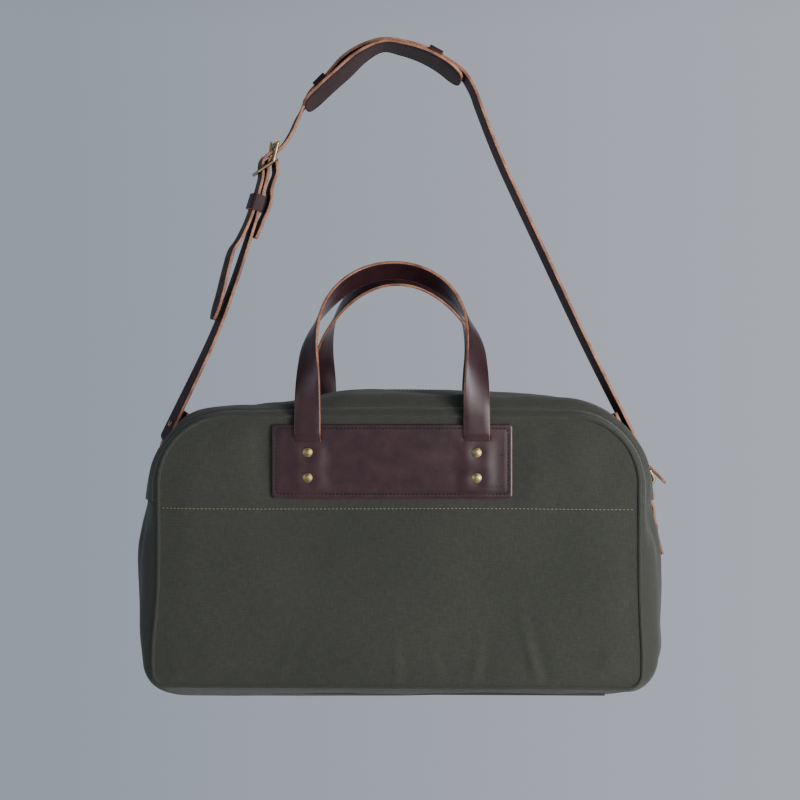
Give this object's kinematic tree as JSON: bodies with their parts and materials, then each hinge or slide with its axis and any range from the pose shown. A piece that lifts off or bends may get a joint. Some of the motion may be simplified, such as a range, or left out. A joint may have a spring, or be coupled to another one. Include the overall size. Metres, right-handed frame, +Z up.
{
  "type": "weekender bag",
  "caption": "Soft canvas travel bag with leather strip handles, zip mouth, riveted patches and an adjustable leather shoulder strap with pad, buckle and snap hooks.",
  "frame": {"origin": "under the middle of the shoulder pad, where the strap hangs over a peg", "axes": "+Z up, -Y out of the front panel, +X along the bag to the right as seen from the front"},
  "size_m": [0.5743, 0.2486, 0.7124],
  "materials": {
    "canvas": "matt woven olive green canvas",
    "leather": "glossy dark burgundy brown leather with raw copper coloured edges",
    "brass": "aged brass",
    "board": "stiff base board"
  },
  "bodies": {
    "strap": {"strap_long": "leather", "strap_short": "leather", "strap_rivets": "brass", "shoulder_pad": "leather", "pad_loops": "leather", "buckle_frame": "brass", "left_hook_eye": "brass", "right_hook_eye": "brass"},
    "roller": {"buckle_roller": "brass"},
    "prong": {"buckle_prong": "brass"},
    "keeper": {"keeper": "leather"},
    "left_hook": {"left_hook_body": "brass"},
    "right_hook": {"right_hook_body": "brass"},
    "left_bolt": {"left_hook_bolt": "brass"},
    "right_bolt": {"right_hook_bolt": "brass"},
    "front_handle": {"front_handle": "leather"},
    "back_handle": {"back_handle": "leather"},
    "front_lip": {"front_lip": "canvas", "front_lip_teeth": "brass"},
    "back_lip": {"back_lip": "canvas", "back_lip_teeth": "brass"},
    "left_ring": {"left_dring": "brass"},
    "right_ring": {"right_dring": "brass"},
    "slider_upper": {"zip_slider_upper": "brass"},
    "slider_lower": {"zip_slider_lower": "brass"},
    "pull_upper": {"zip_pull_upper": "leather"},
    "pull_lower": {"zip_pull_lower": "leather"},
    "bag": {"back_facing": "canvas", "back_handle_ends": "leather", "back_inner_panel": "canvas", "back_panel": "canvas", "back_patch": "leather", "back_piping": "canvas", "back_rivets": "brass", "base_board": "board", "base_panel": "canvas", "front_facing": "canvas", "front_handle_ends": "leather", "front_inner_panel": "canvas", "front_panel": "canvas", "front_patch": "leather", "front_piping": "canvas", "front_rivets": "brass", "left_chape": "leather", "left_chape_rivet": "brass", "left_end_panel": "canvas", "left_zip_corner": "canvas", "left_zip_teeth": "brass", "right_chape": "leather", "right_chape_rivet": "brass", "right_end_panel": "canvas", "right_zip_corner": "canvas", "right_zip_teeth": "brass"}
  },
  "joints": [
    {"name": "bag_swing", "type": "hinge", "parent": "strap", "child": "bag", "pos_m": [0.02, 0, -0.476], "axis": [1, 0, 0], "range_deg": [-12, 4]},
    {"name": "front_handle_fold", "type": "hinge", "parent": "bag", "child": "front_handle", "pos_m": [0.014, -0.1212, -0.427], "axis": [1, 0, 0], "range_deg": [0, 130]},
    {"name": "back_handle_fold", "type": "hinge", "parent": "bag", "child": "back_handle", "pos_m": [0.014, 0.1212, -0.427], "axis": [-1, 0, 0], "range_deg": [0, 130]},
    {"name": "front_lip_open", "type": "hinge", "parent": "bag", "child": "front_lip", "pos_m": [0.02, -0.1065, -0.397], "axis": [1, 0, 0], "range_deg": [0, 50]},
    {"name": "back_lip_open", "type": "hinge", "parent": "bag", "child": "back_lip", "pos_m": [0.02, 0.1065, -0.397], "axis": [-1, 0, 0], "range_deg": [0, 50]},
    {"name": "prong_pivot", "type": "hinge", "parent": "strap", "child": "prong", "pos_m": [-0.1235, 0, -0.1265], "axis": [0.2797, -0.9601, 0], "range_deg": [0, 6]},
    {"name": "roller_spin", "type": "hinge", "parent": "strap", "child": "roller", "pos_m": [-0.1187, 0, -0.1065], "axis": [0.2797, -0.9601, 0], "continuous": true},
    {"name": "keeper_slide", "type": "slide", "parent": "strap", "child": "keeper", "axis": [-0.3, 0, -0.9539], "range_m": [-0.005, 0.005]},
    {"name": "slider_upper_run", "type": "hinge", "parent": "bag", "child": "slider_upper", "pos_m": [0.145, 0, -0.531], "axis": [0, -1, 0], "range_deg": [0, 38]},
    {"name": "slider_lower_run", "type": "hinge", "parent": "bag", "child": "slider_lower", "pos_m": [0.145, 0, -0.531], "axis": [0, -1, 0], "range_deg": [-2, 0]},
    {"name": "left_ring_tilt", "type": "hinge", "parent": "bag", "child": "left_ring", "pos_m": [-0.252, 0, -0.493], "axis": [0, 1, 0], "range_deg": [-2, 2]},
    {"name": "left_hook_swivel", "type": "hinge", "parent": "strap", "child": "left_hook", "pos_m": [-0.2365, 0, -0.43], "axis": [-0.3193, 0, -0.9476], "range_deg": [-6, 6]},
    {"name": "left_bolt_slide", "type": "slide", "parent": "left_hook", "child": "left_bolt", "axis": [0.3193, 0, 0.9476], "range_m": [0, 0.004], "stiffness_N_per_m": 150},
    {"name": "right_ring_tilt", "type": "hinge", "parent": "bag", "child": "right_ring", "pos_m": [0.292, 0, -0.493], "axis": [0, 1, 0], "range_deg": [-2, 2]},
    {"name": "right_hook_swivel", "type": "hinge", "parent": "strap", "child": "right_hook", "pos_m": [0.27, 0, -0.432], "axis": [0.4472, 0, -0.8944], "range_deg": [-6, 6]},
    {"name": "right_bolt_slide", "type": "slide", "parent": "right_hook", "child": "right_bolt", "axis": [-0.4472, 0, 0.8944], "range_m": [0, 0.004], "stiffness_N_per_m": 150},
    {"name": "pull_upper_flap", "type": "hinge", "parent": "slider_upper", "child": "pull_upper", "pos_m": [0.24142, 0.0106, -0.41609], "axis": [0.3257, -0.9051, -0.2733], "range_deg": [0, 25]},
    {"name": "pull_lower_flap", "type": "hinge", "parent": "slider_lower", "child": "pull_lower", "pos_m": [0.25821, -0.0106, -0.43259], "axis": [-0.3044, -0.8859, 0.3501], "range_deg": [0, 10]}
  ]
}
